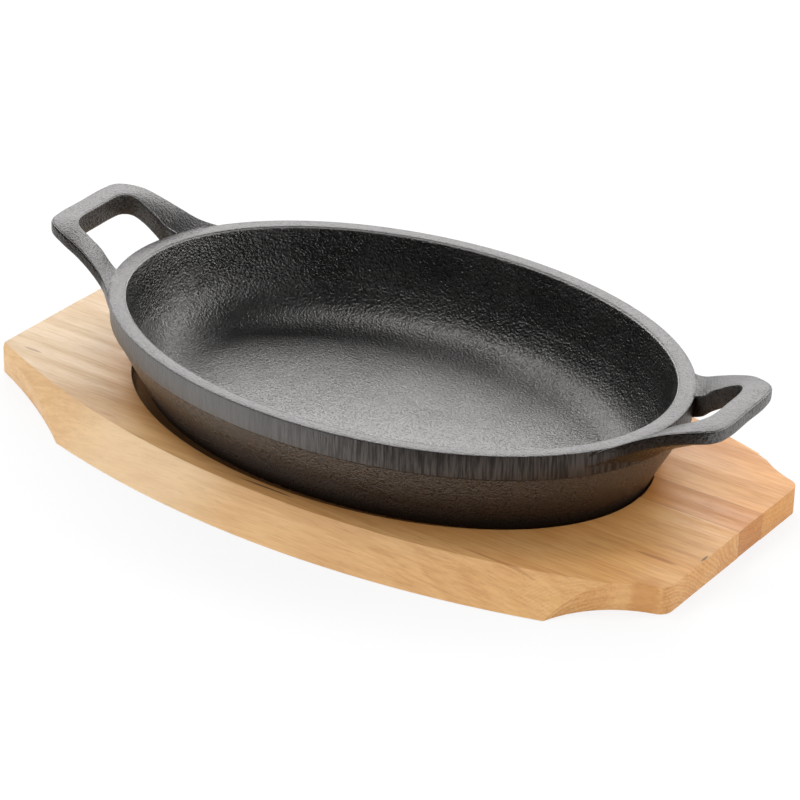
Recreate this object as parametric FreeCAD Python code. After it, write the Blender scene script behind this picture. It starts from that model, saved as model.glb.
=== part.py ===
import FreeCAD, Part
import math
import os

V = FreeCAD.Vector

# Board: ends, thickness and the two long arcs
board_length = 280.0
board_thickness = 10.0
board_end_half_width = 43.0
board_corner_radius = 5.0
top_half_width = 72.7
top_arc_radius = 338.0
foot_half_width = 86.2
foot_arc_radius = 347.0
arc_centre_x = 3.6

# Board: the hollow coves that lead from the long arcs to the ends
cove_right_cusp_x = 110.0
cove_right_middle_x = 121.9
cove_right_middle_y = 51.8
cove_left_cusp_x = -89.0
cove_left_middle_x = -113.4
cove_left_middle_y = 56.8

# Board: glue lines between the three staves
front_glue_line_y = 3.0
rear_glue_line_y = 18.0

# Dish: rim, ground collar and seat
rim_half_length = 110.4
rim_half_width = 75.2
rim_height = 36.0
rim_end_thickness = 6.5
rim_side_thickness = 5.2
rim_inner_radius = 1.2
collar_height = 9.0
collar_taper = 0.4
parting_ledge_width = 0.5

# Dish: body below the collar
seat_inset = 16.0
wall_thickness = 4.6
floor_thickness = 4.5
floor_fillet_rise = 13.0

# Dish: handles, given as the rise above the rim and the loop in plan
handle_reach = 26.2
handle_rise = 12.3
handle_root_drop = 1.4
handle_root_depth = 5.3
handle_bar_width = 8.6
handle_inner_depth = 8.5
handle_outer_depth = 5.0
handle_edge_softening = 0.9
handle_half_width = 24.0
handle_gap_half_width = 16.0
handle_root_half_width = 42.0
handle_root_inner_half_width = 30.4

# Seat of the dish in the board
recess_depth = 4.0
recess_clearance = 3.4
recess_floor_radius = 1.0
dish_turn = 2.0
dish_shift_share_x = 0.6
dish_shift_share_y = 0.3

# How far cutting bodies run past what they cut, how smooth the lofted skins are,
# and how near two places are when they count as one
overrun = 12.0
loft_degree = 3
tolerance = 0.01

# Fillet between the bowl's floor and its wall: reach as a multiple of its rise
floor_fillet_slenderness = 1.2

# Shares of the body height and of its inset, from the seat up to the parting line
body_profile = [
    (0.000, 1.000),
    (0.035, 0.870),
    (0.105, 0.790),
    (0.230, 0.690),
    (0.430, 0.510),
    (0.660, 0.290),
    (0.850, 0.125),
    (1.000, 0.000),
]

# Handle arms after the root: shares of the run and of the flare, outer then inner edge, and of the rise
arm_shares = [
    (0.19, 0.70, 0.31, 0.23, 0.00),
    (0.35, 0.35, 0.48, 0.04, 0.24),
    (0.50, 0.19, 0.57, 0.00, 0.52),
    (0.65, 0.09, 0.67, 0.00, 0.76),
    (0.80, 0.00, 0.76, -0.04, 0.93),
]

# Cross bar: shares of its width set back, and of the loop's half width, for the outer and the inner edge
bar_shares = [
    (0.25, 0.82, 0.10, 0.78),
    (0.00, 0.50, 0.00, 0.48),
    (0.00, 0.00, 0.00, 0.00),
]

# Shares of the fillet's rise and of its reach, from the bowl floor up to the wall
fillet_profile = [
    (0.000, 1.000),
    (0.030, 0.720),
    (0.120, 0.450),
    (0.300, 0.220),
    (0.600, 0.060),
    (1.000, 0.000),
]


def ellipse_wire(half_x, half_y, z):
    curve = Part.Ellipse(V(0, 0, z), half_x, half_y)
    return Part.Wire([curve.toShape()])


def ellipse_body(sections):
    wires = [ellipse_wire(half_x, half_y, z) for half_x, half_y, z in sections]
    return Part.makeLoft(wires, True, False, False, loft_degree)


def polygon_wire(points):
    return Part.makePolygon(points + [points[0]])


# Board: the blank seen from above
half_length = board_length / 2


def arc_y(x, half_width, radius):
    run = x - arc_centre_x
    return half_width - radius + math.sqrt(radius * radius - run * run)


def long_side(side):
    right_end = V(half_length, side * board_end_half_width, 0)
    left_end = V(-half_length, side * board_end_half_width, 0)
    right_cusp_y = arc_y(cove_right_cusp_x, foot_half_width, foot_arc_radius)
    left_cusp_y = arc_y(cove_left_cusp_x, foot_half_width, foot_arc_radius)
    right_cusp = V(cove_right_cusp_x, side * right_cusp_y, 0)
    left_cusp = V(cove_left_cusp_x, side * left_cusp_y, 0)
    right_middle = V(cove_right_middle_x, side * cove_right_middle_y, 0)
    left_middle = V(cove_left_middle_x, side * cove_left_middle_y, 0)
    crown = V(arc_centre_x, side * foot_half_width, 0)
    return [
        Part.Arc(right_end, right_middle, right_cusp).toShape(),
        Part.Arc(right_cusp, crown, left_cusp).toShape(),
        Part.Arc(left_cusp, left_middle, left_end).toShape(),
    ]


def end_edge(x):
    return Part.makeLine(V(x, -board_end_half_width, 0), V(x, board_end_half_width, 0))


front_edges = long_side(-1)
rear_edges = long_side(1)
end_edges = [end_edge(half_length), end_edge(-half_length)]
outline = Part.Wire(Part.__sortEdges__(front_edges + rear_edges + end_edges))
blank = Part.Face(outline).extrude(V(0, 0, board_thickness))


def upright_corner(edge):
    first = edge.Vertexes[0].Point
    last = edge.Vertexes[-1].Point
    upright = abs(first.x - last.x) < tolerance and abs(first.y - last.y) < tolerance
    at_end = abs(abs(first.x) - half_length) < tolerance
    return upright and at_end


blank = blank.makeFillet(board_corner_radius, [edge for edge in blank.Edges if upright_corner(edge)])


# Board: the wide bevel that slopes from the top arcs out to the foot arcs
def lens_wire(z, half_width, radius):
    reach = half_length + overrun
    right_y = arc_y(reach, half_width, radius)
    left_y = arc_y(-reach, half_width, radius)
    front = Part.Arc(V(-reach, -left_y, z), V(arc_centre_x, -half_width, z), V(reach, -right_y, z))
    rear = Part.Arc(V(reach, right_y, z), V(arc_centre_x, half_width, z), V(-reach, left_y, z))
    right = Part.makeLine(V(reach, -right_y, z), V(reach, right_y, z))
    left = Part.makeLine(V(-reach, left_y, z), V(-reach, -left_y, z))
    return Part.Wire([front.toShape(), right, rear.toShape(), left])


foot_lens = lens_wire(0, foot_half_width, foot_arc_radius)
top_lens = lens_wire(board_thickness, top_half_width, top_arc_radius)
bevelled = blank.common(Part.makeLoft([foot_lens, top_lens], True, True))

# Dish: heights and insets, measured from its own seat
parting_height = rim_height - collar_height
collar_foot_inset = collar_taper + parting_ledge_width


def body_half_sizes(height):
    share = min(max(height / parting_height, 0.0), 1.0)
    for (low, low_inset), (high, high_inset) in zip(body_profile, body_profile[1:]):
        if share <= high:
            part = (share - low) / (high - low)
            inset_share = low_inset + part * (high_inset - low_inset)
            break
    inset = collar_foot_inset + inset_share * (seat_inset - collar_foot_inset)
    return rim_half_length - inset, rim_half_width - inset


# Board: the oval recess that the foot of the dish drops into
recess_floor_z = board_thickness - recess_depth
body_half_length, body_half_width = body_half_sizes(recess_depth)
recess_half_length = body_half_length + recess_clearance
recess_half_width = body_half_width + recess_clearance
recess_wire = ellipse_wire(recess_half_length, recess_half_width, recess_floor_z)
recess_cutter = Part.Face(recess_wire).extrude(V(0, 0, recess_depth + overrun))
floor_level = recess_floor_z + tolerance
recess_floor_edges = [edge for edge in recess_cutter.Edges if edge.BoundBox.ZMax < floor_level]
recess_cutter = recess_cutter.makeFillet(recess_floor_radius, recess_floor_edges)
board = bevelled.cut(recess_cutter)


# Board: three staves, cut along the glue lines
def stave(low_y, high_y):
    length = board_length + 2 * overrun
    slab = Part.makeBox(length, high_y - low_y, board_thickness + 2 * overrun)
    slab.translate(V(-length / 2, low_y, -overrun))
    return board.common(slab)


edge_y = foot_half_width + overrun
stave_front = stave(-edge_y, front_glue_line_y)
stave_middle = stave(front_glue_line_y, rear_glue_line_y)
stave_rear = stave(rear_glue_line_y, edge_y)

# Dish: outside of the bowl, the body as one smooth skin and the collar as a near upright band
body_sections = []
for share, inset_share in body_profile:
    inset = collar_foot_inset + inset_share * (seat_inset - collar_foot_inset)
    body_sections.append((rim_half_length - inset, rim_half_width - inset, share * parting_height))
body = ellipse_body(body_sections)
collar_foot = ellipse_wire(rim_half_length - collar_taper, rim_half_width - collar_taper, parting_height)
collar_top = ellipse_wire(rim_half_length, rim_half_width, rim_height)
collar = Part.makeLoft([collar_foot, collar_top], True, True)

# Dish: the bowl, from its floor through the fillet and up the sloping wall
mouth_half_length = rim_half_length - rim_end_thickness
mouth_half_width = rim_half_width - rim_side_thickness
fillet_reach = floor_fillet_rise * floor_fillet_slenderness
bowl_sections = []
for share, reach_share in fillet_profile:
    height = floor_thickness + share * floor_fillet_rise
    half_x, half_y = body_half_sizes(height)
    slope = reach_share * fillet_reach
    bowl_sections.append((half_x - wall_thickness - slope, half_y - wall_thickness - slope, height))
bowl_sections.append((mouth_half_length, mouth_half_width, rim_height))
bowl = ellipse_body(bowl_sections)
mouth = Part.Face(ellipse_wire(mouth_half_length, mouth_half_width, rim_height)).extrude(V(0, 0, overrun))

# Dish: stations along one half of a handle, from its root in the rim to the middle of the cross bar.
# Each gives where the outer and the inner edge lie in plan and how far the top has risen.
bar_outer_x = rim_half_length + handle_reach
bar_inner_x = bar_outer_x - handle_bar_width


def rim_x(y):
    return rim_half_length * math.sqrt(1 - (y / rim_half_width) ** 2)


root_outer_x = rim_x(handle_root_half_width) - handle_root_depth
root_inner_x = rim_x(handle_root_inner_half_width) - handle_root_depth
arm_run = bar_outer_x - root_outer_x
flare = handle_root_half_width - handle_half_width


def arm_station(outer_run, outer_flare, inner_run, inner_flare, risen):
    outer_x = root_outer_x + outer_run * arm_run
    inner_x = root_outer_x + inner_run * arm_run
    outer_y = handle_half_width + outer_flare * flare
    inner_y = handle_gap_half_width + inner_flare * flare
    return outer_x, outer_y, inner_x, inner_y, risen


def bar_station(outer_in, outer_width, inner_in, inner_width):
    outer_x = bar_outer_x - outer_in * handle_bar_width
    inner_x = bar_inner_x - inner_in * handle_bar_width
    return outer_x, outer_width * handle_half_width, inner_x, inner_width * handle_gap_half_width, 1.0


root_station = (root_outer_x, handle_root_half_width, root_inner_x, handle_root_inner_half_width, 0.0)
arm_stations = [arm_station(*shares) for shares in arm_shares]
bar_stations = [bar_station(*shares) for shares in bar_shares]
half_stations = [root_station] + arm_stations + bar_stations


def handle_section(outer_x, outer_y, inner_x, inner_y, risen):
    top = rim_height - handle_root_drop + risen * (handle_rise + handle_root_drop)
    across = V(inner_x - outer_x, inner_y - outer_y, 0)
    across.normalize()
    soft = handle_edge_softening
    outer = V(outer_x, outer_y, 0)
    inner = V(inner_x, inner_y, 0)
    outer_in = outer + across * soft
    inner_in = inner - across * soft
    low_outer = top - handle_outer_depth
    low_inner = top - handle_inner_depth
    corners = [
        V(outer_in.x, outer_in.y, top),
        V(inner_in.x, inner_in.y, top),
        V(inner.x, inner.y, top - soft),
        V(inner.x, inner.y, low_inner + soft),
        V(inner_in.x, inner_in.y, low_inner),
        V(outer_in.x, outer_in.y, low_outer),
        V(outer.x, outer.y, low_outer + soft),
        V(outer.x, outer.y, top - soft),
    ]
    return corners


mirrored_stations = []
for outer_x, outer_y, inner_x, inner_y, risen in reversed(half_stations[:-1]):
    mirrored_stations.append((outer_x, -outer_y, inner_x, -inner_y, risen))
stations = half_stations + mirrored_stations
handle_corners = [handle_section(*station) for station in stations]

# Dish: how far along the handle each station lies, shared by all the lengthwise edges
distances = [0.0]
for before, after in zip(handle_corners, handle_corners[1:]):
    distances.append(distances[-1] + (after[0] - before[0]).Length)


def lengthwise_edge(corner):
    curve = Part.BSplineCurve()
    curve.interpolate(Points=[corners[corner] for corners in handle_corners], Parameters=distances)
    return curve.toShape()


# Dish: the handle's skin, ruled between neighbouring lengthwise edges and closed at both roots
long_edges = [lengthwise_edge(corner) for corner in range(len(handle_corners[0]))]
skin = [Part.makeRuledSurface(edge, long_edges[index - 1]) for index, edge in enumerate(long_edges)]
skin.append(Part.Face(polygon_wire(handle_corners[0])))
skin.append(Part.Face(polygon_wire(handle_corners[-1])))
handle_skin = Part.makeShell(skin)
handle_skin.sewShape()
right_handle = Part.makeSolid(handle_skin)
if right_handle.Volume < 0:
    right_handle.reverse()
left_handle = right_handle.copy()
left_handle.rotate(V(0, 0, 0), V(0, 0, 1), 180)

# Dish: one casting, hollowed out, with the inner edge of its rim rounded
casting = body.fuse([collar, right_handle, left_handle])
casting = casting.cut(bowl.fuse(mouth))


def mouth_edge(edge):
    box = edge.BoundBox
    level = box.ZMin > rim_height - tolerance and box.ZMax < rim_height + tolerance
    return level and abs(box.XLength - 2 * mouth_half_length) < tolerance


dish = casting.makeFillet(rim_inner_radius, [edge for edge in casting.Edges if mouth_edge(edge)])

# Dish: set down in the recess, a little turned and to one side
dish.rotate(V(0, 0, 0), V(0, 0, 1), dish_turn)
dish_shift = V(dish_shift_share_x * recess_clearance, dish_shift_share_y * recess_clearance, recess_floor_z)
dish.translate(dish_shift)

pieces = {
    "board_stave_front": stave_front,
    "board_stave_middle": stave_middle,
    "board_stave_rear": stave_rear,
    "dish": dish,
}

os.makedirs("parts", exist_ok=True)
for name, shape in pieces.items():
    if shape.ShapeType == "Compound" and len(shape.Solids) == 1:
        shape = shape.Solids[0]
    print(name, shape.ShapeType, len(shape.Solids), shape.isValid(), round(shape.Volume), shape.BoundBox)
    shape.exportStep("parts/" + name + ".step")
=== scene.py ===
# %% [markdown]
# An oval gratin dish of cast iron stands in the recess of a wooden board. This lesson dresses the
# measured parts: it builds the casting anew with softened edges, breaks the edges of the three
# board staves, and gives the iron and the wood materials that are worked out from noise and
# place. The measured parts come in first. They fix every size, so nothing later on may leave
# their box.

# %% Load the measured parts
import math

import bmesh
import bpy
from mathutils import Matrix, Vector


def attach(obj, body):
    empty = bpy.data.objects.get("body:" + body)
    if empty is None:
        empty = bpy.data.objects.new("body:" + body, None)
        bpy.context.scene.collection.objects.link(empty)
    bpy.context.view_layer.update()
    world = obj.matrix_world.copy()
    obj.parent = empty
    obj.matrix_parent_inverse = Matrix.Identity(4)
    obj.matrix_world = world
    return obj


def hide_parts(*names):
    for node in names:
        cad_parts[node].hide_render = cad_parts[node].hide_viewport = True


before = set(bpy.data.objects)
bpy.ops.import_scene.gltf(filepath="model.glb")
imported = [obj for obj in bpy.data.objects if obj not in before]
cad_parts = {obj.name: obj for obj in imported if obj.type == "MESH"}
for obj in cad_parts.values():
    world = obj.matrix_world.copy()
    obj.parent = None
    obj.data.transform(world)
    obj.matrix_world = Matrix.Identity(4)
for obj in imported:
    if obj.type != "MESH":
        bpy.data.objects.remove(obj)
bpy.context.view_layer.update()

MM = 0.001

# %% [markdown]
# The camera comes next, because every later choice is judged through it. The photograph was taken
# with a long lens from the front right, some 28 degrees above the table. The numbers come from
# lining up the measured parts with the picture: the direction, the distance, a slight roll and
# the lens.

# %% Set up the camera
AZIMUTH = math.radians(34.14)
ELEVATION = math.radians(28.35)
ROLL = math.radians(1.61)
DISTANCE = 1.2944
AIM = Vector((-0.01221, 0.02524, 0.0))
SENSOR_WIDTH, FOCAL_LENGTH = 36.0, 163.09

toward_camera = Vector((
    math.sin(AZIMUTH) * math.cos(ELEVATION),
    -math.cos(AZIMUTH) * math.cos(ELEVATION),
    math.sin(ELEVATION),
))
level_right = Vector((math.cos(AZIMUTH), math.sin(AZIMUTH), 0.0))
level_up = toward_camera.cross(level_right)
camera_right = level_right * math.cos(ROLL) + level_up * math.sin(ROLL)
camera_up = level_up * math.cos(ROLL) - level_right * math.sin(ROLL)

scene = bpy.context.scene
camera_data = bpy.data.cameras.new("table_camera")
camera_data.sensor_width = SENSOR_WIDTH
camera_data.lens = FOCAL_LENGTH
camera_data.clip_start = 0.05
camera = bpy.data.objects.new("table_camera", camera_data)
scene.collection.objects.link(camera)
camera.matrix_world = Matrix((camera_right, camera_up, toward_camera)).transposed().to_4x4()
camera.location = AIM + toward_camera * DISTANCE
scene.camera = camera
print("camera stands at", [round(value, 3) for value in camera.location])

# %% [markdown]
# Iron shows what it reflects. In the photograph the level faces catch a pale backdrop behind the
# dish, while the walls that face the camera look into a dark room and stay almost black. So the
# world is white where it is looked at, and gives only a soft light to everything that stands in
# it. A picture of a real room could do this too, but a plain world and a few lamps are easy to
# move about.

# %% Shader helpers: nodes, values and sums
def add_node(tree, kind, **settings):
    node = tree.nodes.new(kind)
    for name, value in settings.items():
        setattr(node, name, value)
    return node


def feed(tree, socket, value):
    """Gives a socket what it works with: another node's output, a number or a colour."""
    if isinstance(value, bpy.types.NodeSocket):
        tree.links.new(value, socket)
    else:
        socket.default_value = value


def worked(tree, operation, first, *others):
    """One operation through two or more sockets or numbers, or on a single one."""
    total = first
    for value in others or (0.0,):
        node = add_node(tree, "ShaderNodeMath", operation=operation)
        feed(tree, node.inputs[0], total)
        feed(tree, node.inputs[1], value)
        total = node.outputs[0]
    return total


def ranged(tree, value, low, high, to_low=0.0, to_high=1.0):
    """Goes smoothly from to_low to to_high while the value goes from low to high."""
    node = add_node(tree, "ShaderNodeMapRange", interpolation_type="SMOOTHSTEP")
    ends = {"From Min": low, "From Max": high, "To Min": to_low, "To Max": to_high}
    for label, number in ends.items():
        node.inputs[label].default_value = number
    tree.links.new(value, node.inputs["Value"])
    return node.outputs[0]


def looked_at(tree):
    """1 for the rays that show a thing to the eye, a mirror or glass, 0 for the light it gives."""
    rays = add_node(tree, "ShaderNodeLightPath").outputs
    names = ("Is Camera Ray", "Is Glossy Ray", "Is Transmission Ray")
    return worked(tree, "MAXIMUM", *[rays[name] for name in names])


# %% Paint the world
WORLD_LIGHT = 0.36
scene.view_settings.view_transform = "Standard"
world = bpy.data.worlds.new("pale_room")
scene.world = world
world.use_nodes = True
room = world.node_tree
room.nodes.clear()
background = add_node(room, "ShaderNodeBackground")
background.inputs["Color"].default_value = (1.0, 1.0, 1.0, 1.0)
feed(room, background.inputs["Strength"], ranged(room, looked_at(room), 0.0, 1.0, WORLD_LIGHT, 1.0))
world_output = add_node(room, "ShaderNodeOutputWorld")
room.links.new(background.outputs[0], world_output.inputs["Surface"])
print("the world gives", WORLD_LIGHT, "of its white as light")

# %% [markdown]
# Soft lamps hang behind, above and beside the dish, all turned to its middle. The strong one at
# the back left draws the pale rim and the shine on the floor of the dish. The one in front only
# lifts the dark sides, so it is hidden from reflections, where it would show as a bright patch.

# %% Hang the lamps
LAMPS = [
    # name, place, width, height, power in watts, shows in reflections
    ("back_softbox", (-0.66, 0.97, 0.76), 1.3, 0.85, 15.5, True),
    ("back_middle_softbox", (0.12, 1.15, 0.95), 0.5, 0.5, 2.2, True),
    ("back_right_softbox", (0.78, 1.00, 0.72), 0.6, 0.6, 7.0, True),
    ("top_softbox", (-0.64, -0.08, 1.36), 0.55, 0.55, 4.8, True),
    ("right_softbox", (1.35, 0.1, 0.5), 0.7, 0.6, 4.8, True),
    ("front_fill", (-0.50, -1.40, 0.60), 1.4, 0.8, 14.0, False),
]

for name, place, width, height, power, mirrored in LAMPS:
    light = bpy.data.lights.new(name, "AREA")
    light.shape = "RECTANGLE"
    light.size = width
    light.size_y = height
    light.energy = power
    lamp = bpy.data.objects.new(name, light)
    scene.collection.objects.link(lamp)
    lamp.location = place
    lamp.rotation_euler = (-Vector(place)).to_track_quat("-Z", "Y").to_euler()
    lamp.visible_glossy = mirrored
print(len(LAMPS), "lamps hang")

# %% [markdown]
# A dark dome stands round it all, open at the back, and a dark cloth lies on the table at the
# front. Only reflections see them, so they draw the iron and leave the wood lit. Black screens
# beside the dish would do the same in a studio. A dome is chosen because it leaves no gaps.

# %% Build the dark dome
def new_material(name):
    material = bpy.data.materials.new(name)
    material.use_nodes = True
    return material, material.node_tree, material.node_tree.nodes["Principled BSDF"]


def to_object(mesh, name):
    """Turns a finished bmesh into an object of the scene."""
    data = bpy.data.meshes.new(name)
    mesh.to_mesh(data)
    mesh.free()
    piece = bpy.data.objects.new(name, data)
    scene.collection.objects.link(piece)
    return piece


def only_reflected(piece):
    """The piece shows in glossy reflections and nowhere else."""
    piece.data.materials.append(dark_cloth)
    piece.visible_camera = False
    piece.visible_diffuse = False
    piece.visible_shadow = False
    piece.visible_transmission = False


dark_cloth, _, cloth_shader = new_material("dark_cloth")
cloth_shader.inputs["Base Color"].default_value = (0.012, 0.012, 0.012, 1.0)
cloth_shader.inputs["Roughness"].default_value = 1.0

DOME_RADIUS = 2.6
OPENING_AXIS = Vector((-0.45, 0.72, 0.53)).normalized()
OPENING_HALF_ANGLE = math.radians(52.0)
OPENING_TOP = math.sin(math.radians(52.0))
dome = bmesh.new()
bmesh.ops.create_uvsphere(dome, u_segments=96, v_segments=48, radius=DOME_RADIUS)
open_faces = []
for face in dome.faces:
    away = face.calc_center_median().normalized()
    in_opening = away.z < OPENING_TOP and away.angle(OPENING_AXIS) < OPENING_HALF_ANGLE
    if away.z < 0.0 or in_opening:
        open_faces.append(face)
bmesh.ops.delete(dome, geom=open_faces, context="FACES")
dome_piece = to_object(dome, "dark_dome")
only_reflected(dome_piece)
print("dark dome has", len(dome_piece.data.polygons), "faces")

# %% [markdown]
# The floor is white paper. Plain white paper would render a little grey, so to the eye it is
# mostly a white glow, with enough real paper mixed in to carry the shadow of the board. The light
# that it throws back on the dish comes from the real paper alone.

# %% Lay the cloth and the floor
def stage_sheet(name, centre, half_width, half_depth):
    sheet = bmesh.new()
    bmesh.ops.create_grid(sheet, x_segments=1, y_segments=1, size=1.0)
    bmesh.ops.scale(sheet, vec=(half_width, half_depth, 1.0), verts=sheet.verts)
    bmesh.ops.translate(sheet, vec=centre, verts=sheet.verts)
    piece = to_object(sheet, name)
    return piece


CLOTH_ABOVE, FLOOR_BELOW = 0.0004, 0.0002
GLOW_SHARE = 0.80
only_reflected(stage_sheet("dark_table_cloth", (0.73, -0.80, CLOTH_ABOVE), 0.70, 0.68))
floor = stage_sheet("pale_floor", (0.0, 0.0, -FLOOR_BELOW), 6.0, 6.0)
floor_paper, paper, _ = new_material("pale_floor_paper")
paper.nodes.clear()
real_paper = add_node(paper, "ShaderNodeBsdfDiffuse")
real_paper.inputs["Color"].default_value = (0.9, 0.9, 0.9, 1.0)
glow = add_node(paper, "ShaderNodeEmission")
glow.inputs["Strength"].default_value = 1.0
paper_mix = add_node(paper, "ShaderNodeMixShader")
feed(paper, paper_mix.inputs[0], ranged(paper, looked_at(paper), 0.0, 1.0, 0.0, GLOW_SHARE))
feed(paper, paper_mix.inputs[1], real_paper.outputs[0])
feed(paper, paper_mix.inputs[2], glow.outputs[0])
paper_output = add_node(paper, "ShaderNodeOutputMaterial")
paper.links.new(paper_mix.outputs[0], paper_output.inputs["Surface"])
floor.data.materials.append(floor_paper)
print("cloth and floor lie")

# %% [markdown]
# Sand leaves its grain on everything that was poured into it. The same skin lies on the inside,
# the outside and the handles of the casting, so it is a node group: fine pebbles, wider dimples
# and slow patches of tone. It could be modelled, but lumps of a millimetre would take millions of
# faces.

# %% Shader helpers: places, noise and groups
def own_place(tree):
    """Where a point lies on the piece, in metres."""
    return add_node(tree, "ShaderNodeTexCoord").outputs["Object"]


def own_facing(tree):
    """Which way the surface faces there."""
    return add_node(tree, "ShaderNodeTexCoord").outputs["Normal"]


def stretched(tree, factors):
    """The place, multiplied per axis: a large factor packs a pattern tightly."""
    mapping = add_node(tree, "ShaderNodeMapping")
    mapping.inputs["Scale"].default_value = factors
    tree.links.new(own_place(tree), mapping.inputs["Vector"])
    return mapping.outputs[0]


def scaled(tree, vector, factor):
    node = add_node(tree, "ShaderNodeVectorMath", operation="SCALE")
    tree.links.new(vector, node.inputs[0])
    feed(tree, node.inputs["Scale"], factor)
    return node.outputs[0]


def noise(tree, vector, detail=2.0, roughness=0.5):
    node = add_node(tree, "ShaderNodeTexNoise", noise_dimensions="3D")
    node.inputs["Scale"].default_value = 1.0
    node.inputs["Detail"].default_value = detail
    node.inputs["Roughness"].default_value = roughness
    tree.links.new(vector, node.inputs["Vector"])
    return node.outputs["Fac"]


def new_group(name, inputs, outputs):
    tree = bpy.data.node_groups.new(name, "ShaderNodeTree")
    for label, kind, value in inputs:
        socket = tree.interface.new_socket(name=label, in_out="INPUT", socket_type=kind)
        socket.default_value = value
    for label, kind in outputs:
        tree.interface.new_socket(name=label, in_out="OUTPUT", socket_type=kind)
    return tree, add_node(tree, "NodeGroupInput").outputs, add_node(tree, "NodeGroupOutput").inputs


# %% Group: the skin that sand leaves on iron
PEBBLES = 950.0
DIMPLES = (330.0, 330.0, 330.0)
PATCHES = (42.0, 42.0, 42.0)
sand, sand_in, sand_out = new_group(
    "sand_cast_skin",
    [("Pebble Size", "NodeSocketFloat", 1.0)],
    [("Height", "NodeSocketFloat"), ("Tone", "NodeSocketFloat"), ("Pits", "NodeSocketFloat")],
)
pebble_scale = worked(sand, "DIVIDE", PEBBLES, sand_in["Pebble Size"])
pebbles = noise(sand, scaled(sand, own_place(sand), pebble_scale))
dimples = noise(sand, stretched(sand, DIMPLES))
skin_height = worked(sand, "ADD", pebbles, worked(sand, "MULTIPLY", dimples, 0.35))
feed(sand, sand_out["Height"], skin_height)
feed(sand, sand_out["Tone"], noise(sand, stretched(sand, PATCHES), detail=3.0))
feed(sand, sand_out["Pits"], ranged(sand, pebbles, 0.50, 0.30))
print("sand skin group has", len(sand.nodes), "nodes")

# %% [markdown]
# The band under the rim was ground after casting, and the wheel's marks run straight up and down
# it. Lines could be drawn one by one, but noise that is drawn out along the height gives fine
# streaks and broad ones at once, and they never repeat on the way round.

# %% Group: marks of the grinding wheel
FINE_MARKS = 1000.0
BROAD_MARKS = (980.0, 980.0, 60.0)
wheel, wheel_in, wheel_out = new_group(
    "grinding_marks",
    [("Fineness", "NodeSocketFloat", 1.0)],
    [("Height", "NodeSocketFloat"), ("Streaks", "NodeSocketFloat")],
)
mark_scale = worked(wheel, "MULTIPLY", wheel_in["Fineness"], FINE_MARKS)
drawn_out = scaled(wheel, stretched(wheel, (1.0, 1.0, 0.10)), mark_scale)
fine_marks = noise(wheel, drawn_out, roughness=0.6)
broad_marks = noise(wheel, stretched(wheel, BROAD_MARKS), detail=3.0, roughness=0.6)
marks_height = worked(wheel, "ADD", fine_marks, worked(wheel, "MULTIPLY", broad_marks, 0.5))
feed(wheel, wheel_out["Height"], marks_height)
feed(wheel, wheel_out["Streaks"], ranged(wheel, broad_marks, 0.38, 0.62))
print("grinding marks group has", len(wheel.nodes), "nodes")

# %% [markdown]
# The casting is one piece with one material, but it wears several finishes: a rough inside, a
# floor that is worn smoother, a rubbed rim and a ground band. Over them shade is painted in the
# step under the band, at the foot and on the sides of the handles, and reflected light is painted
# on the outside and on the band. Separate materials would need edges between faces, and a real
# finish fades. So masks are worked out from the place in the casting's own axes, which are turned
# and shifted on the board, and from the way it faces.

# %% Material: the casting's own axes
def split(tree, vector):
    """The X, Y and Z of a vector, each as a socket."""
    node = add_node(tree, "ShaderNodeSeparateXYZ")
    tree.links.new(vector, node.inputs[0])
    return node.outputs


def seen_from(tree, origin, unit=(1.0, 1.0, 1.0), turn=0.0):
    """The place, counted from an origin, in units of its own along each axis."""
    node = add_node(tree, "ShaderNodeMapping", vector_type="TEXTURE")
    node.inputs["Location"].default_value = origin
    node.inputs["Rotation"].default_value = (0.0, 0.0, turn)
    node.inputs["Scale"].default_value = unit
    tree.links.new(own_place(tree), node.inputs["Vector"])
    return node.outputs[0]


def times(tree, *values):
    return worked(tree, "MULTIPLY", *values)


def opposite(tree, mask):
    return worked(tree, "SUBTRACT", 1.0, mask)


def oval_reach(tree, x, y):
    """The distance from the middle, which is 1 on an oval whose half axes are the units."""
    return worked(tree, "SQRT", worked(tree, "ADD", times(tree, x, x), times(tree, y, y)))


RIM_LONG, RIM_WIDE, RIM_HIGH = 110.4, 75.2, 36.0
BAND_FOOT = 27.0
SEAT_HEIGHT = 6.0
TURN = math.radians(2.0)
SHIFT = Vector((2.04, 1.02, SEAT_HEIGHT)) * MM

cast_iron, iron, iron_shader = new_material("seasoned_cast_iron")
rim_units = (RIM_LONG * MM, RIM_WIDE * MM, MM)
along, across, height = split(iron, seen_from(iron, SHIFT, rim_units, TURN))
face_x, face_y, face_z = split(iron, own_facing(iron))
oval = oval_reach(iron, along, across)
outward = worked(iron, "ADD", times(iron, face_x, along), times(iron, face_y, across))
print("the rim is 1 on an oval of", 2 * RIM_LONG, "by", 2 * RIM_WIDE, "mm")
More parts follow.
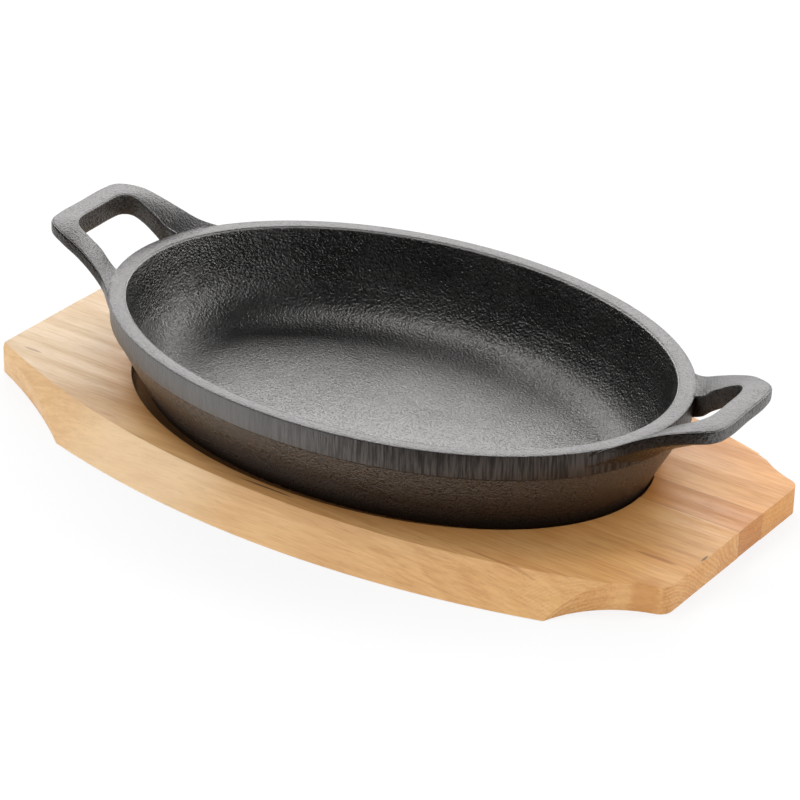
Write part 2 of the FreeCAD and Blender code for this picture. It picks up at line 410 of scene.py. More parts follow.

# %% [markdown]
# Each mask is 1 where its finish or its painted light lies and fades to 0 at its edge: over a
# millimetre at the band, and over a centimetre or more where the painted brown reflection and
# shade creep up. A mask is a product of simple ones, such as how high the place is, how far from
# the middle, and whether it lies level or upright.
# Painting them by hand would be quicker once, but these follow the casting if a size changes.

# %% Material: masks on the casting
level = ranged(iron, face_z, 0.55, 0.85)
upright = opposite(iron, level)
rubbed_mask = times(iron, level, ranged(iron, height, RIM_HIGH - 2.2, RIM_HIGH - 1.2))
band_mask = times(
    iron, upright, ranged(iron, height, BAND_FOOT - 0.2, BAND_FOOT + 0.1),
    ranged(iron, oval, 0.985, 0.992), ranged(iron, oval, 1.035, 1.006),
)
outside_mask = times(iron, ranged(iron, outward, 0.05, 0.25), ranged(iron, oval, 1.02, 1.0))
# Painted shade: the narrow step under the band, which faces down.
step_mask = times(
    iron, outside_mask, ranged(iron, height, BAND_FOOT - 1.1, BAND_FOOT - 0.3),
    ranged(iron, height, BAND_FOOT + 0.2, BAND_FOOT),
)
# Painted shade: the outside is painted dark at its foot, and made duller there.
foot_mask = times(iron, outside_mask, ranged(iron, height, 8.0, 2.5))
# Painted reflection and shade: the outside turns brown and darker towards the bottom.
low_down = ranged(iron, height, 22.0, 3.0, 0.0, 0.75)
toward_right = ranged(iron, along, -0.35, 0.75)
unworn = worked(iron, "MAXIMUM", ranged(iron, height, 7.0, 21.0), outside_mask)
# The upright sides of the handles and the walls of their holes, where shade is painted.
arm_side = times(iron, upright, ranged(iron, oval, 1.0, 1.03), ranged(iron, height, 26.0, 29.0))
in_hole = ranged(iron, outward, 0.22, 0.10)
print("masks use", len(iron.nodes), "nodes")

# %% [markdown]
# Seasoned iron is metal under a thin dark film of burnt oil. The raw inside is dark grey with
# darker pits, and the rubbed rim is plainer. The ground band is painted pale at the left and dark
# brown at the right, a painted reflection, and streaked by the wheel. The outside is painted
# lighter grey at the left, where the front lamp falls, and browner at the right, a painted
# reflection of the wood. Low down it is painted brown and darker towards the foot, painted
# reflection and painted shade, and the step under the band, the handle sides and the walls of
# their holes are painted dark as shade. The colours are laid over one another, as coats of paint
# are, because then each coat has to know only its own mask.

# %% Shader helpers: groups and coats
def place_group(tree, group, **values):
    node = add_node(tree, "ShaderNodeGroup")
    node.node_tree = group
    for label, value in values.items():
        node.inputs[label.replace("_", " ")].default_value = value
    return node.outputs


def mixed(tree, share, first, second, blend="MIX"):
    """Mixes two colours by a share. Each is a socket, or four numbers for a colour."""
    node = add_node(tree, "ShaderNodeMix", data_type="RGBA", blend_type=blend)
    for index, value in ((0, share), (6, first), (7, second)):
        feed(tree, node.inputs[index], value)
    return node.outputs[2]


def blended(tree, share, first, second):
    """Mixes two heights, or two values of roughness, by a share."""
    node = add_node(tree, "ShaderNodeMix", data_type="FLOAT")
    for index, value in ((0, share), (2, first), (3, second)):
        feed(tree, node.inputs[index], value)
    return node.outputs[0]


def coated(tree, colour, coats):
    """Lays coats over a colour one after another, each with its share."""
    for share, coat in coats:
        colour = mixed(tree, share, colour, coat)
    return colour


# %% Palette of the iron
INSIDE_DARK, INSIDE_PALE = (0.126, 0.122, 0.119, 1.0), (0.164, 0.160, 0.156, 1.0)
# Painted light and reflection: the outside is lighter grey at the left and browner at the right.
OUTSIDE_LEFT, OUTSIDE_RIGHT = (0.176, 0.169, 0.164, 1.0), (0.116, 0.097, 0.082, 1.0)
# Painted shade on the sides of the handles, darkest next to the dish, lighter at the outer end.
ARM_SHADE_NEAR, ARM_FAR = (0.048, 0.041, 0.037, 1.0), (0.130, 0.126, 0.122, 1.0)
RUBBED_DARK, RUBBED_PALE = (0.087, 0.084, 0.083, 1.0), (0.110, 0.107, 0.106, 1.0)
# Painted reflection: the band is pale at the left and dark brown at the right.
BAND_LEFT, BAND_RIGHT = (0.200, 0.196, 0.194, 1.0), (0.080, 0.066, 0.058, 1.0)
# Painted reflection of the wood and painted shade, low on the outside.
LOW_REFLECTION_BROWN = (0.054, 0.029, 0.016, 1.0)
WORN_FLOOR = (0.030, 0.028, 0.027, 1.0)
# Painted shade on the walls of the holes in the handles.
HOLE_SHADE = (0.074, 0.069, 0.065, 1.0)
RAW_PIT, RUBBED_PIT = (0.020, 0.018, 0.016, 1.0), (0.030, 0.028, 0.027, 1.0)
# Painted shade in the step under the band.
STEP_SHADE = (0.012, 0.010, 0.009, 1.0)
# Painted shade at the foot.
FOOT_SHADE = (0.030, 0.020, 0.014, 1.0)
BAND_STREAK = (0.020, 0.016, 0.014, 1.0)

# %% Material: colours of the iron
skin = place_group(iron, sand, Pebble_Size=0.82)
fine_skin = place_group(iron, sand, Pebble_Size=0.72)
marks = place_group(iron, wheel, Fineness=1.0)
floor_share = times(iron, opposite(iron, unworn), 0.22)
streak_share = times(iron, marks["Streaks"], ranged(iron, along, -0.2, 0.6, 0.08, 0.85))
pit_share = times(iron, skin["Pits"], blended(iron, unworn, 0.45, 0.65))

# Painted light and reflection on the outside, then painted brown and shade low down.
outside = mixed(iron, toward_right, OUTSIDE_LEFT, OUTSIDE_RIGHT)
outside = mixed(iron, low_down, outside, LOW_REFLECTION_BROWN)
# Painted shade on the handle sides and on the walls of their holes.
arms = mixed(iron, ranged(iron, outward, 0.7, 1.1), ARM_SHADE_NEAR, ARM_FAR)
arms = mixed(iron, in_hole, arms, HOLE_SHADE)
inside = mixed(iron, ranged(iron, skin["Tone"], 0.35, 0.65), INSIDE_DARK, INSIDE_PALE)
raw = coated(iron, inside, [
    (floor_share, WORN_FLOOR),
    (outside_mask, outside),
    (arm_side, arms),
    (pit_share, RAW_PIT),
    # Painted shade in the step under the band and at the foot.
    (times(iron, step_mask, 0.75), STEP_SHADE),
    (times(iron, foot_mask, 0.85), FOOT_SHADE),
])
rubbed = mixed(iron, ranged(iron, fine_skin["Tone"], 0.35, 0.65), RUBBED_DARK, RUBBED_PALE)
rubbed = mixed(iron, times(iron, fine_skin["Pits"], 0.5), rubbed, RUBBED_PIT)
# Painted reflection on the band, pale at the left and dark brown at the right.
band = mixed(iron, toward_right, BAND_LEFT, BAND_RIGHT)
band = mixed(iron, streak_share, band, BAND_STREAK)
iron_colour = coated(iron, raw, [(rubbed_mask, rubbed), (band_mask, band)])
feed(iron, iron_shader.inputs["Base Color"], iron_colour)
print("iron colours are mixed with", len(iron.nodes), "nodes")

# %% [markdown]
# The same masks say how rough and how deep the skin is. The raw inside glitters, since each
# pebble is smooth, the rim and the band are duller, and the foot is dullest. A metallic shader
# with a dark base colour gives the deep reflections. Where brown and shade are painted low on the
# outside, at its right and on the walls of the holes, the metal share falls, so that the painted
# colour shows.

# %% Material: roughness, relief and metal share of the iron
def bumped(tree, height, strength, distance):
    node = add_node(tree, "ShaderNodeBump")
    node.inputs["Strength"].default_value = strength
    node.inputs["Distance"].default_value = distance
    tree.links.new(height, node.inputs["Height"])
    return node.outputs[0]


PEBBLE_DEPTH = 0.8 * MM
THINNEST_FILM = 0.05
raw_finish = ranged(iron, skin["Tone"], 0.3, 0.7, 0.24, 0.32)
raw_finish = worked(iron, "ADD", raw_finish, times(iron, floor_share, 0.32))
rubbed_finish = ranged(iron, fine_skin["Tone"], 0.3, 0.7, 0.38, 0.46)
finish = blended(iron, rubbed_mask, raw_finish, rubbed_finish)
finish = blended(iron, band_mask, finish, 0.44)
finish = blended(iron, foot_mask, finish, 0.60)
feed(iron, iron_shader.inputs["Roughness"], finish)

raw_relief = times(iron, skin["Height"], blended(iron, unworn, 0.36, 1.0))
relief = blended(iron, rubbed_mask, raw_relief, times(iron, fine_skin["Height"], 0.25))
relief = blended(iron, band_mask, relief, times(iron, marks["Height"], 0.60))
feed(iron, iron_shader.inputs["Normal"], bumped(iron, relief, 1.0, PEBBLE_DEPTH))

# The metal share falls where brown and shade are painted, so that the painted colour shows.
film = worked(
    iron, "MAXIMUM", times(iron, outside_mask, low_down, 0.50),
    times(iron, outside_mask, toward_right, 0.30), times(iron, arm_side, in_hole, 0.40),
    THINNEST_FILM,
)
feed(iron, iron_shader.inputs["Metallic"], opposite(iron, film))
print("iron material has", len(iron.nodes), "nodes")

# %% [markdown]
# The casting is one piece: an oval bowl with a ground band and a flat rim. A turned bowl is easy,
# since one outline is spun round. An oval is not, because its wall would grow thin at the sides
# if a round bowl were merely squeezed. So each point of the outline carries two insets from the
# rim, one for the length and one for the width, and after the spin every ring is pressed to its
# own oval.

# %% Sizes of the casting, in millimetres above its own seat
def through(points, steps):
    """A smooth run of points through the given ones, with steps between each pair."""
    ends = [points[0]] + points + [points[-1]]
    run = []
    for before, start, end, after in zip(ends, ends[1:], ends[2:], ends[3:]):
        for step in range(steps):
            t = step / steps
            run.append(tuple(
                0.5 * (
                    2 * b + (c - a) * t + (2 * a - 5 * b + 4 * c - d) * t * t
                    + (3 * b - a - 3 * c + d) * t ** 3
                )
                for a, b, c, d in zip(before, start, end, after)
            ))
    run.append(points[-1])
    return run


# BODY and BOWL hold an inset and a height. The others hold two insets and a height.
FLOOR_HIGH = 4.5
BAND_INSET = 0.4
MOUTH = (6.5, 5.2)
FOOT = [(RIM_LONG, RIM_WIDE, 0.0), (80.0, 55.0, 0.0), (50.0, 36.0, 0.0), (30.0, 25.0, 0.0)]
BODY = [
    (16.0, 0.0), (14.04, 0.95), (12.83, 2.83), (11.32, 6.21),
    (8.6, 11.61), (5.28, 17.82), (2.79, 22.95), (0.9, BAND_FOOT),
]
LIP = [
    (BAND_INSET, BAND_INSET, BAND_FOOT), (0.2, 0.2, 31.5), (0.0, 0.0, RIM_HIGH),
    (3.0, 2.5, RIM_HIGH), (*MOUTH, RIM_HIGH), (8.2, 7.6, 27.0),
]
BOWL = [
    (10.05, 17.5), (13.77, 12.3), (18.25, 8.4), (23.01, 6.06), (27.74, 4.89), (32.28, FLOOR_HIGH),
]
FLOOR = [(50.0, 42.0, FLOOR_HIGH), (80.0, 58.0, FLOOR_HIGH), (RIM_LONG, RIM_WIDE, FLOOR_HIGH)]

body_run = through([(inset, inset, high) for inset, high in BODY], 4)
bowl_run = through([(inset, inset, high) for inset, high in BOWL], 5)
outline = FOOT + body_run + LIP + bowl_run + FLOOR
print("outline has", len(outline), "points")

# %% Spin the bowl and press it oval
RING_STEPS = 256
ON_AXIS = 1e-6
WELD = 1e-4

bowl = bmesh.new()
across_layer = bowl.verts.layers.float.new("inset_across")
profile = []
for inset_long, inset_wide, high in outline:
    point = bowl.verts.new((RIM_LONG - inset_long, 0.0, high))
    point[across_layer] = inset_wide
    profile.append(point)
strokes = [bowl.edges.new(pair) for pair in zip(profile, profile[1:])]
bmesh.ops.spin(
    bowl, geom=profile + strokes, cent=(0.0, 0.0, 0.0), axis=(0.0, 0.0, 1.0),
    angle=math.tau, steps=RING_STEPS, use_merge=True, use_duplicate=False,
)
for vert in bowl.verts:
    reach = math.hypot(vert.co.x, vert.co.y)
    if reach > ON_AXIS:
        vert.co.y *= (RIM_WIDE - vert[across_layer]) / reach
bmesh.ops.remove_doubles(bowl, verts=bowl.verts, dist=WELD)
bmesh.ops.recalc_face_normals(bowl, faces=bowl.faces)
print("bowl is spun from", len(profile), "points in", RING_STEPS, "steps")

# %% [markdown]
# A caster's edge is never sharp. The mouth, the outer edge of the rim and the foot of the band
# each get a small round, with a width of its own. A Bevel modifier could round them all at once,
# but it can't tell the three edges apart, so the rings are looked up by where they lie.

# %% Soften the edges of the bowl
HEIGHT_SLACK, OVAL_SLACK = 0.01, 0.002
MOUTH_ROUND, RIM_ROUND, BAND_ROUND = 1.15, 0.45, 0.2


def ring_edges(mesh, inset_long, inset_wide, high):
    """The edges of the ring that lies at these insets and this height."""
    def on_ring(vert):
        share = math.hypot(vert.co.x / (RIM_LONG - inset_long), vert.co.y / (RIM_WIDE - inset_wide))
        return abs(vert.co.z - high) < HEIGHT_SLACK and abs(share - 1.0) < OVAL_SLACK
    return [edge for edge in mesh.edges if on_ring(edge.verts[0]) and on_ring(edge.verts[1])]


def soften(mesh, edges, width, segments):
    bmesh.ops.bevel(
        mesh, geom=edges, offset=width, offset_type="OFFSET", segments=segments,
        profile=0.5, affect="EDGES", material=-1, clamp_overlap=True,
    )


def open_edges(mesh):
    """How many edges don't lie between exactly two faces. A closed skin has none."""
    return sum(1 for edge in mesh.edges if not edge.is_manifold)


soften(bowl, ring_edges(bowl, *MOUTH, RIM_HIGH), MOUTH_ROUND, 5)
soften(bowl, ring_edges(bowl, 0.0, 0.0, RIM_HIGH), RIM_ROUND, 3)
soften(bowl, ring_edges(bowl, BAND_INSET, BAND_INSET, BAND_FOOT), BAND_ROUND, 2)
print("bowl has", len(bowl.faces), "faces, open edges:", open_edges(bowl))

# %% [markdown]
# Each handle is a loop that leaves the rim just under its top, climbs and ends in a level bar.
# Its section is drawn at seventeen places along the loop and smoothed between them. It is deep at
# the hole and thin outside, with round corners. The rings are then bridged one to the next, and
# both ends are closed inside the rim.

# %% Handle stations: outer x, outer y, inner x, inner y, share of the rise
RISE, ROOT_DROP = 12.3, 1.4
HALF_HANDLE = [
    (86.28, 42.0, 95.68, 30.4, 0.0),
    (95.84, 36.6, 101.88, 20.14, 0.0),
    (103.89, 30.3, 110.43, 16.72, 0.24),
    (111.44, 27.42, 114.96, 16.0, 0.52),
    (118.99, 25.62, 119.99, 16.0, 0.76),
    (126.54, 24.0, 124.52, 15.28, 0.93),
    (134.45, 19.68, 127.14, 12.48, 1.0),
    (136.6, 12.0, 128.0, 7.68, 1.0),
    (136.6, 0.0, 128.0, 0.0, 1.0),
]
OTHER_HALF = [(ox, -oy, ix, -iy, rise) for ox, oy, ix, iy, rise in reversed(HALF_HANDLE[:-1])]
LOOP = through(HALF_HANDLE + OTHER_HALF, 5)
CORNER_STEPS = 5
INNER_DEPTH, OUTER_DEPTH = 8.5, 5.0


def section(outer_x, outer_y, inner_x, inner_y, rise):
    """Points round one cross section, corner by corner, from the outer top edge inwards."""
    top = RIM_HIGH - ROOT_DROP + rise * (RISE + ROOT_DROP)
    outer, inner = Vector((outer_x, outer_y, 0.0)), Vector((inner_x, inner_y, 0.0))
    inward = (inner - outer).normalized()
    up = Vector((0.0, 0.0, 1.0))
    corners = [
        # corner, towards the next one, back to the one before, radius
        (outer + up * top, inward, -up, 1.0),
        (inner + up * top, -up, -inward, 1.1),
        (inner + up * (top - INNER_DEPTH), -inward, up, 1.4),
        (outer + up * (top - OUTER_DEPTH), up, inward, 1.3),
    ]
    points = []
    for corner, onward, back, radius in corners:
        middle = corner + (onward + back) * radius
        for step in range(CORNER_STEPS):
            angle = math.radians(90.0) * step / (CORNER_STEPS - 1)
            swing = onward * radius * math.cos(angle)
            points.append(middle - swing - back * radius * math.sin(angle))
    return points


print("a handle has", len(LOOP), "sections of", len(section(*LOOP[0])), "points")

# %% Bridge the sections into two handles
handles = bmesh.new()
loops = []
for station in LOOP:
    ring = bmesh.ops.create_circle(
        handles, cap_ends=False, radius=1.0, segments=4 * CORNER_STEPS,
    )["verts"]
    for vert, point in zip(ring, section(*station)):
        vert.co = point
    loops.append(list(dict.fromkeys(edge for vert in ring for edge in vert.link_edges)))
for near, far in zip(loops, loops[1:]):
    bmesh.ops.bridge_loops(handles, edges=near + far)
bmesh.ops.contextual_create(handles, geom=loops[0])
bmesh.ops.contextual_create(handles, geom=loops[-1])
bmesh.ops.recalc_face_normals(handles, faces=handles.faces)
everything = handles.verts[:] + handles.edges[:] + handles.faces[:]
twin = bmesh.ops.duplicate(handles, geom=everything)
twin_verts = [item for item in twin["geom"] if isinstance(item, bmesh.types.BMVert)]
half_turn = Matrix.Rotation(math.pi, 3, "Z")
bmesh.ops.rotate(handles, verts=twin_verts, cent=(0.0, 0.0, 0.0), matrix=half_turn)
print("handles have", len(handles.faces), "faces, open edges:", open_edges(handles))

# %% [markdown]
# The handles were poured with the bowl, so there is no seam to hide: the two shapes are joined
# into one skin with the exact Boolean. Then the whole casting is turned and set down as it stands
# in the recess.

# %% Join bowl and handles
bowl_piece = to_object(bowl, "bowl_form")
handle_piece = to_object(handles, "handle_forms")
join = bowl_piece.modifiers.new("join", "BOOLEAN")
join.operation = "UNION"
join.solver = "EXACT"
join.object = handle_piece
bpy.context.view_layer.update()
evaluated = bowl_piece.evaluated_get(bpy.context.evaluated_depsgraph_get())
joined = bpy.data.meshes.new_from_object(evaluated)
for helper in (bowl_piece, handle_piece):
    bpy.data.objects.remove(helper)

casting = bmesh.new()
casting.from_mesh(joined)
bmesh.ops.remove_doubles(casting, verts=casting.verts, dist=WELD)
print("casting has", len(casting.faces), "faces, open edges:", open_edges(casting))

# %% Shade and place the casting
CREASE = math.radians(38.0)


def shade(mesh):
    """Smooth faces, with a sharp line only where two of them meet at more than CREASE."""
    for face in mesh.faces:
        face.smooth = True
    for edge in mesh.edges:
        edge.smooth = not edge.is_manifold or edge.calc_face_angle() < CREASE


casting.normal_update()
shade(casting)
bmesh.ops.scale(casting, vec=(MM, MM, MM), verts=casting.verts)
turned = Matrix.Rotation(TURN, 3, "Z")
bmesh.ops.rotate(casting, verts=casting.verts, cent=(0.0, 0.0, 0.0), matrix=turned)
bmesh.ops.translate(casting, vec=SHIFT, verts=casting.verts)
dish = to_object(casting, "gratin_dish")
dish.data.materials.append(cast_iron)
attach(dish, "root")
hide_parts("dish")
print("dish box in mm:", [round(value / MM, 1) for value in dish.dimensions])

# %% [markdown]
# The board is glued up from three staves of a pale hardwood. Wood is solid all through, so its
# pattern is made in three dimensions: thin shells round the heart of the tree, stretched far
# along the stave. Where a face cuts them lengthwise they show as long streaks, and on the end
# they show as arcs.

# %% Group: the rings of the wood
timber, timber_in, timber_out = new_group(
    "hardwood_figure",
    [
        ("Heart Across", "NodeSocketFloat", 0.0),
        ("Heart Height", "NodeSocketFloat", -0.05),
        ("Ring Width", "NodeSocketFloat", 0.0035),
        ("Ring Strength", "NodeSocketFloat", 0.5),
        ("Light Wood", "NodeSocketColor", (0.72, 0.50, 0.28, 1.0)),
        ("Dark Wood", "NodeSocketColor", (0.50, 0.27, 0.11, 1.0)),
    ],
    [("Color", "NodeSocketColor"), ("Height", "NodeSocketFloat"), ("Gloss", "NodeSocketFloat")],
)


def year_line(phase, start, end, drop):
    """A year's growth: it darkens slowly from start to end, and falls back after drop."""
    return times(timber, ranged(timber, phase, start, end), ranged(timber, phase, 1.0, drop))


BROAD_SWAY, FINE_SWAY = 22.0 * MM, 2.2 * MM
FINE_RINGS = 2.6
wood_x, wood_y, wood_z = split(timber, own_place(timber))
across_heart = worked(timber, "SUBTRACT", wood_y, timber_in["Heart Across"])
over_heart = worked(timber, "SUBTRACT", wood_z, timber_in["Heart Height"])
sway = times(timber, noise(timber, stretched(timber, (5.0, 24.0, 24.0))), BROAD_SWAY)
sway_fine = times(timber, noise(timber, stretched(timber, (16.0, 120.0, 120.0))), FINE_SWAY)
from_heart = oval_reach(timber, across_heart, over_heart)
swayed = worked(timber, "ADD", from_heart, worked(timber, "ADD", sway, sway_fine))
ring_count = worked(timber, "DIVIDE", swayed, timber_in["Ring Width"])
ring_line = year_line(worked(timber, "FRACT", ring_count), 0.20, 0.80, 0.78)
fine_phase = worked(timber, "FRACT", times(timber, ring_count, FINE_RINGS))
fine_rings = year_line(fine_phase, 0.15, 0.80, 0.82)
print("rings of the wood use", len(timber.nodes), "nodes")

# %% [markdown]
# Between the rings run fibres and pores, drawn out some twenty times along the stave, with a slow
# ripple and clouds of tone over them. The end of a stave shows the fibres end on, so there the
# fine rings take over. All of it adds up to one figure, which says how dark the wood is at each
# place.

# %% Group: fibres, pores and clouds
wood_facing = split(timber, own_facing(timber))
end_grain = ranged(timber, worked(timber, "ABSOLUTE", wood_facing["X"]), 0.55, 0.80)
along_grain = opposite(timber, end_grain)
fibres = noise(timber, stretched(timber, (58.0, 1000.0, 1000.0)), detail=3.0, roughness=0.65)
broad_fibres = noise(timber, stretched(timber, (11.0, 260.0, 260.0)), detail=4.0, roughness=0.6)
ripple = noise(timber, stretched(timber, (24.0, 70.0, 70.0)), detail=3.0)
clouds = noise(timber, stretched(timber, (6.0, 14.0, 30.0)))
pores = noise(timber, stretched(timber, (110.0, 2600.0, 2600.0)), detail=1.0)
pores = ranged(timber, pores, 0.60, 0.72)
broad_share = worked(timber, "ADD", times(timber, along_grain, 0.75), 0.25)
figure = worked(
    timber, "ADD",
    times(timber, ring_line, timber_in["Ring Strength"]),
    times(timber, fine_rings, end_grain, 0.40),
    times(timber, ranged(timber, broad_fibres, 0.34, 0.70, 0.0, 0.36), broad_share),
    ranged(timber, fibres, 0.38, 0.66, 0.0, 0.44),
    ranged(timber, ripple, 0.34, 0.66, -0.10, 0.14),
    ranged(timber, clouds, 0.30, 0.70, -0.12, 0.18),
)
print("figure of the wood uses", len(timber.nodes), "nodes")

# %% [markdown]
# The board is paler at its left end, partly paler wood and partly a painted sheen that is
# strongest on the top, and the paleness runs on over the front slope there. It is warmer at its
# right. Its slopes and sides are painted a little paler than the top, as painted light. Round the
# dish the top is painted a deeper orange, painted shade and bounced light, and down in the recess
# it is painted dark brown as painted shade. These marks belong to places on the whole board, so
# they are in the group, where all three staves share them, and they run on across the seams.

# %% Group: ends, slopes and painted shade round the dish
RECESS_LONG, RECESS_WIDE = 101.5 * MM, 66.3 * MM
SEAMS = (3.0 * MM, 18.0 * MM)
PALE_LIGHT, PALE_DARK = (0.56, 0.420, 0.260, 1.0), (0.465, 0.325, 0.182, 1.0)
PORE_BROWN = (0.28, 0.12, 0.040, 1.0)
LIT_SLOPE_PALE, SLOPE_PALE_AND_SHEEN = (0.88, 0.62, 0.36, 1.0), (0.84, 0.68, 0.47, 1.0)
SHADE_AND_BOUNCE_ORANGE = (0.72, 0.290, 0.055, 1.0)
WARM_TINT = (1.0, 0.93, 0.80, 1.0)
RECESS_SHADE_BROWN = (0.190, 0.080, 0.022, 1.0)
GLUE_BROWN = (0.24, 0.11, 0.045, 1.0)

upward = wood_facing["Z"]
on_top = ranged(timber, upward, 0.86, 0.95)
level_share = ranged(timber, upward, 0.86, 0.95, 0.45, 1.0)
# Painted sheen and paler wood: the left end is painted paler, most of all on the top.
pale_and_sheen_end = times(timber, ranged(timber, wood_x, -0.045, -0.135, 0.0, 0.80), level_share)
light_wood = mixed(timber, pale_and_sheen_end, timber_in["Light Wood"], PALE_LIGHT)
dark_wood = mixed(timber, pale_and_sheen_end, timber_in["Dark Wood"], PALE_DARK)
# Painted light: the slopes and sides along the grain are painted a little paler than the top.
on_bevel = times(timber, along_grain, ranged(timber, upward, 0.93, 0.86))
# Painted sheen and paler wood: the pale left end runs on over the front slope.
pale_and_sheen_slope = times(
    timber, on_bevel, ranged(timber, wood_x, 0.0, -0.04),
    ranged(timber, wood_x, -0.105, -0.065), 0.42,
)
recess_x = worked(timber, "DIVIDE", wood_x, RECESS_LONG)
recess_y = worked(timber, "DIVIDE", wood_y, RECESS_WIDE)
from_recess = oval_reach(timber, recess_x, recess_y)
# Painted shade and bounced light: the top round the dish is painted a deeper orange.
shade_and_bounce_round_dish = times(timber, ranged(timber, from_recess, 1.16, 1.0, 0.0, 0.34), on_top)
# Painted shade: the wall and floor of the recess, under the dish, are painted dark brown.
in_recess = times(
    timber, ranged(timber, from_recess, 1.004, 0.998), ranged(timber, wood_z, 0.0099, 0.0092),
)
warm_end = ranged(timber, wood_x, 0.0, 0.13)
print("the recess is 1 on an oval of", 2 * RECESS_LONG / MM, "by", 2 * RECESS_WIDE / MM, "mm")

# %% Group: what the wood puts out
# Coats here: painted light on the slopes, painted sheen at the left and painted shade round the
# dish.
wood_colour = coated(timber, mixed(timber, figure, light_wood, dark_wood), [
    (times(timber, pores, 0.30), PORE_BROWN),
    (times(timber, on_bevel, 0.18), LIT_SLOPE_PALE),
    (pale_and_sheen_slope, SLOPE_PALE_AND_SHEEN),
    (shade_and_bounce_round_dish, SHADE_AND_BOUNCE_ORANGE),
])
wood_colour = mixed(timber, warm_end, wood_colour, WARM_TINT, blend="MULTIPLY")
# Painted shade down in the recess.
wood_colour = mixed(timber, times(timber, in_recess, 0.85), wood_colour, RECESS_SHADE_BROWN)
for seam in SEAMS:
    gap = worked(timber, "ABSOLUTE", worked(timber, "SUBTRACT", wood_y, seam))
    glued = ranged(timber, gap, 0.0004, 0.0001, 0.0, 0.35)
    wood_colour = mixed(timber, glued, wood_colour, GLUE_BROWN)
feed(timber, timber_out["Color"], wood_colour)

wood_height = worked(timber, "SUBTRACT", times(timber, fibres, 0.7), pores)
wood_gloss = ranged(timber, broad_fibres, 0.3, 0.7, 0.44, 0.58)
feed(timber, timber_out["Height"], wood_height)
feed(timber, timber_out["Gloss"], worked(timber, "ADD", wood_gloss, times(timber, in_recess, 0.42)))
print("hardwood group has", len(timber.nodes), "nodes")

# %% [markdown]
# No two boards are alike, and a few marks make this one: a dark streak at the left, a fine line
# along the top of the front slope, an orange streak and a short crack of a knot at the right end,
# a deeper orange patch at the end of the cove, and the pale arcs that a round saw left on the
# slope. Each is a soft spot at a place on the stave, frayed by noise that runs with the grain. A
# painted picture would do it too, but noise is enough.

# %% Helpers for marks in the wood
def from_centre(tree, place):
    node = add_node(tree, "ShaderNodeVectorMath", operation="LENGTH")
    tree.links.new(place, node.inputs[0])
    return node.outputs["Value"]


def smudge(tree, centre, half_sizes, fray):
    """A soft spot on the wood, frayed along the grain by noise."""
    reach = from_centre(tree, seen_from(tree, centre, half_sizes))
    unrest = noise(tree, stretched(tree, (120.0, 900.0, 900.0)))
    unrest = times(tree, worked(tree, "SUBTRACT", unrest, 0.5), fray)
    return ranged(tree, worked(tree, "ADD", reach, unrest), 1.15, 0.60)


BLADE_CENTRE = (0.136, -0.088, 0.0)
BLADE_ARCS = 900.0


def saw_arcs(tree):
    """Pale curved scratches where a round blade left the front bevel."""
    reach = from_centre(tree, seen_from(tree, BLADE_CENTRE))
    unrest = noise(tree, stretched(tree, (260.0, 260.0, 260.0)))
    phase = worked(tree, "ADD", times(tree, reach, BLADE_ARCS), times(tree, unrest, 0.7))
    lines = ranged(tree, worked(tree, "PINGPONG", phase, 0.5), 0.30, 0.48)
    upward = split(tree, own_facing(tree))["Z"]
    sloping = times(tree, ranged(tree, upward, 0.93, 0.90), ranged(tree, upward, 0.60, 0.75))
    near_blade = ranged(tree, reach, 0.054, 0.036)
    return times(tree, lines, sloping, near_blade, ranged(tree, unrest, 0.38, 0.58))


BARK_BROWN = (0.10, 0.045, 0.018, 1.0)
STREAK_BROWN = (0.22, 0.09, 0.03, 1.0)
RESIN_ORANGE = (0.34, 0.12, 0.03, 1.0)
COVE_END_ORANGE = (0.50, 0.21, 0.05, 1.0)
FRONT_BLEMISHES = [
    # centre, half sizes along the three axes, fray, strength, colour
    ((-0.1282, -0.0392, 0.010), (0.0045, 0.0007, 0.004), 0.6, 0.65, STREAK_BROWN),
    ((-0.0020, -0.0682, 0.010), (0.0120, 0.0005, 0.004), 0.6, 0.75, BARK_BROWN),
    ((0.1265, -0.0279, 0.010), (0.0085, 0.0009, 0.004), 0.6, 0.70, RESIN_ORANGE),
    ((0.1395, -0.0189, 0.010), (0.0005, 0.0023, 0.0007), 0.3, 0.85, BARK_BROWN),
    ((0.1335, -0.0475, 0.005), (0.0050, 0.0100, 0.0120), 0.7, 0.55, COVE_END_ORANGE),
    ((0.0870, -0.0610, 0.010), (0.0160, 0.0007, 0.004), 0.6, 0.45, RESIN_ORANGE),
]
print("front stave bears", len(FRONT_BLEMISHES), "marks")

# %% [markdown]
# Each stave came from another plank, so each has its own heart, ring width and pair of colours.
# The group does the rest. Only the front stave bears the marks and the saw's arcs.

# %% Materials: one for each stave
SAWN_PALE = (0.88, 0.64, 0.38, 1.0)
FIBRE_DEPTH = 0.12 * MM
STAVES = [
    # stave, heart across and height, ring width, ring strength, light and dark wood
    ("front", -0.045, -0.020, 0.0040, 0.22, (0.75, 0.462, 0.208, 1.0), (0.56, 0.280, 0.100, 1.0)),
    ("middle", 0.010, 0.060, 0.0030, 0.24, (0.59, 0.280, 0.080, 1.0), (0.45, 0.185, 0.050, 1.0)),
    ("rear", 0.050, -0.300, 0.0024, 0.18, (0.68, 0.352, 0.104, 1.0), (0.49, 0.212, 0.056, 1.0)),
]

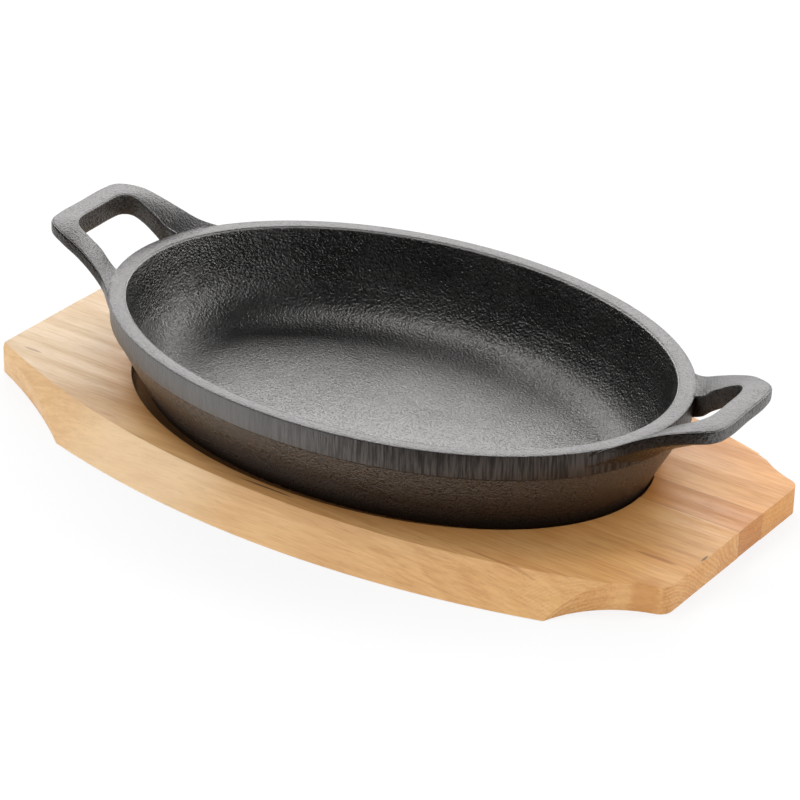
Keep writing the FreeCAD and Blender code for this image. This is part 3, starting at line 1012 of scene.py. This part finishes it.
stave_wood = {}
for stave, heart_across, heart_height, ring_width, ring_strength, light, dark in STAVES:
    material, tree, shader = new_material(stave + "_stave_wood")
    wood = place_group(
        tree, timber, Heart_Across=heart_across, Heart_Height=heart_height, Ring_Width=ring_width,
        Ring_Strength=ring_strength, Light_Wood=light, Dark_Wood=dark,
    )
    colour = wood["Color"]
    if stave == "front":
        for centre, half_sizes, fray, strength, stain in FRONT_BLEMISHES:
            mark = times(tree, smudge(tree, centre, half_sizes, fray), strength)
            colour = mixed(tree, mark, colour, stain)
        colour = mixed(tree, times(tree, saw_arcs(tree), 0.30), colour, SAWN_PALE)
    feed(tree, shader.inputs["Base Color"], colour)
    feed(tree, shader.inputs["Roughness"], wood["Gloss"])
    feed(tree, shader.inputs["Normal"], bumped(tree, wood["Height"], 0.35, FIBRE_DEPTH))
    stave_wood[stave] = material
    print(material.name, "has", len(tree.nodes), "nodes")

# %% [markdown]
# The measured staves have knife edges, and no real board does. A copy of each is welded from its
# loose triangles, its flat faces are cleaned, and every corner but the glued seams gets a small
# round. The seams stay sharp, because glued staves are sanded flush.

# %% Break the edges of the staves
BROKEN_EDGE = 0.5 * MM
TRIANGLE_WELD, SLIVER_WELD = 2e-6, 6e-7
FLAT = math.radians(0.15)
CORNER = math.radians(24.0)


def on_seam(edge):
    return any(all(abs(vert.co.y - seam) < 1e-5 for vert in edge.verts) for seam in SEAMS)


def is_corner(edge):
    return edge.is_manifold and edge.calc_face_angle() > CORNER and not on_seam(edge)


for stave, material in stave_wood.items():
    node_name = "board_stave_" + stave
    welded = bmesh.new()
    welded.from_mesh(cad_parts[node_name].data)
    bmesh.ops.remove_doubles(welded, verts=welded.verts, dist=TRIANGLE_WELD)
    bmesh.ops.dissolve_limit(
        welded, angle_limit=FLAT, use_dissolve_boundaries=False,
        verts=welded.verts, edges=welded.edges, delimit=set(),
    )
    soften(welded, [edge for edge in welded.edges if is_corner(edge)], BROKEN_EDGE, 3)
    bmesh.ops.remove_doubles(welded, verts=welded.verts, dist=SLIVER_WELD)
    shade(welded)
    for face in welded.faces:
        face.material_index = 0
    unclosed = open_edges(welded)
    piece = to_object(welded, "stave_" + stave + "_wood")
    piece.data.materials.append(material)
    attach(piece, "root")
    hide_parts(node_name)
    print(piece.name, "has", len(piece.data.polygons), "faces, open edges:", unclosed)
